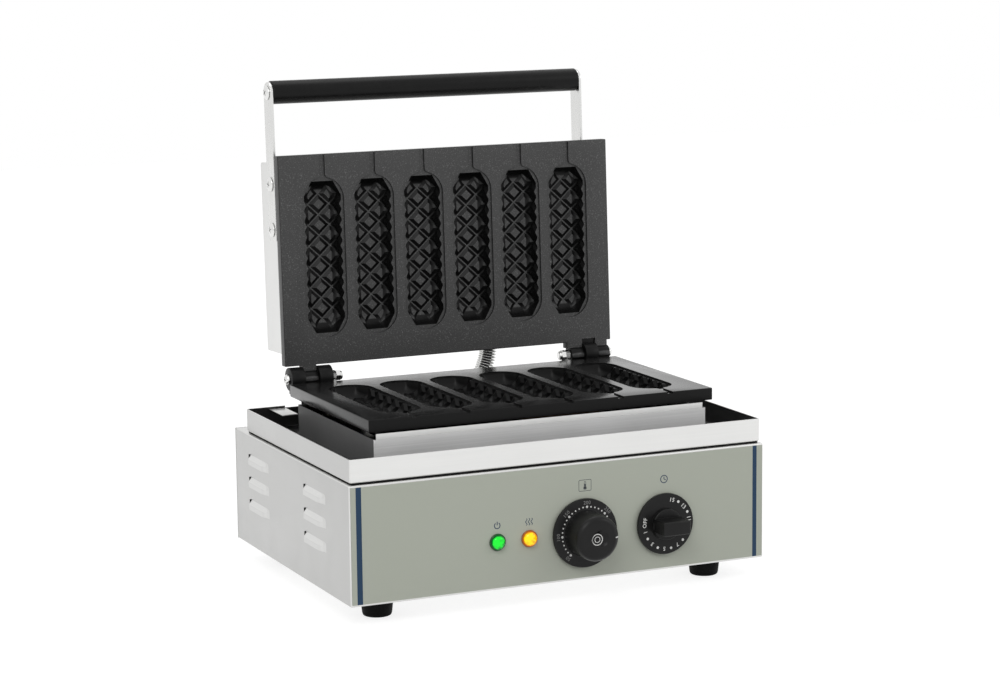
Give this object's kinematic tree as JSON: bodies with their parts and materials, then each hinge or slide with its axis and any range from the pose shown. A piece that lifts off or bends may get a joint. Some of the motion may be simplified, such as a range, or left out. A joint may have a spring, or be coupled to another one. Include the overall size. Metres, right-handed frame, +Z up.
{
  "type": "waffle stick maker",
  "caption": "Tabletop electric baker that presses batter on sticks between two hinged moulds, with a drip tray, thermostat, timer and lamps.",
  "frame": {"origin": "on the table under the middle of the open machine's bounding box", "axes": "+Z up, -Y towards the front with the control panel, +X to the right seen from the front"},
  "size_m": [0.428, 0.3793, 0.4704],
  "materials": {
    "steel": "brushed stainless sheet",
    "bright_steel": "bright zinc plated or polished steel",
    "coated_casting": "satin black non-stick coating on a casting",
    "black_rubber": "matt moulded rubber",
    "black_plastic": "satin black plastic",
    "printed_foil": "olive grey printed film",
    "mineral_wool": "pressed mineral wool",
    "green_lens": "clear green plastic, lit",
    "amber_lens": "clear amber plastic, lit",
    "brass": "plain brass",
    "moulded_case": "pale moulded case",
    "lead_sleeve": "woven insulating sleeve over the wires"
  },
  "bodies": {
    "base": {"base_shell": "steel", "rear_panel": "steel", "bottom_plate": "steel", "drip_tray": "steel", "lower_housing": "steel", "lower_heater_clamp": "steel", "heater_pan": "bright_steel", "lower_heater": "bright_steel", "hinge_bolt_left": "bright_steel", "hinge_bolt_right": "bright_steel", "hinge_nut_left": "bright_steel", "hinge_nut_right": "bright_steel", "hinge_lock_nut_left": "bright_steel", "hinge_lock_nut_right": "bright_steel", "conduit_spring": "bright_steel", "conduit_socket_base": "bright_steel", "lower_plate": "coated_casting", "foot_front_left": "black_rubber", "foot_front_right": "black_rubber", "foot_rear_left": "black_rubber", "foot_rear_right": "black_rubber", "tray_seal": "black_rubber", "cable_gland": "black_plastic", "front_foil": "printed_foil", "lower_insulation": "mineral_wool", "power_lamp_body": "green_lens", "power_lamp_lens": "green_lens", "heat_lamp_body": "amber_lens", "heat_lamp_lens": "amber_lens", "thermostat_bulb": "brass", "earth_stud": "brass", "thermostat_body": "moulded_case", "timer_body": "moulded_case", "terminal_block": "moulded_case", "conduit_lead": "lead_sleeve"},
    "lid": {"upper_plate": "coated_casting", "upper_heater": "bright_steel", "upper_heater_clamp": "steel", "upper_insulation": "mineral_wool", "lid_cover": "steel", "cover_screw_rear_left": "bright_steel", "cover_screw_front_left": "bright_steel", "cover_screw_rear_right": "bright_steel", "cover_screw_front_right": "bright_steel", "handle_arm_left": "steel", "handle_arm_right": "steel", "handle_grip": "black_plastic", "handle_rod": "bright_steel", "arm_screw_left_rear": "bright_steel", "arm_screw_left_front": "bright_steel", "arm_screw_right_rear": "bright_steel", "arm_screw_right_front": "bright_steel", "grip_screw_left": "bright_steel", "grip_screw_right": "bright_steel", "conduit_socket_lid": "bright_steel"},
    "thermostat_dial": {"thermostat_knob": "black_plastic", "thermostat_shaft": "bright_steel"},
    "timer_dial": {"timer_knob": "black_plastic", "timer_shaft": "bright_steel"}
  },
  "joints": [
    {"name": "lid", "type": "hinge", "parent": "base", "child": "lid", "pos_m": [0, 0.09747, 0.1846], "axis": [1, 0, 0], "range_deg": [0, 92.5], "deforming": ["conduit_spring", "conduit_lead"]},
    {"name": "thermostat", "type": "hinge", "parent": "base", "child": "thermostat_dial", "pos_m": [0.0203, -0.15573, 0.0654], "axis": [0, -1, 0], "range_deg": [-261, 45]},
    {"name": "timer", "type": "hinge", "parent": "base", "child": "timer_dial", "pos_m": [0.10375, -0.15573, 0.0654], "axis": [0, -1, 0], "range_deg": [0, 270]}
  ]
}
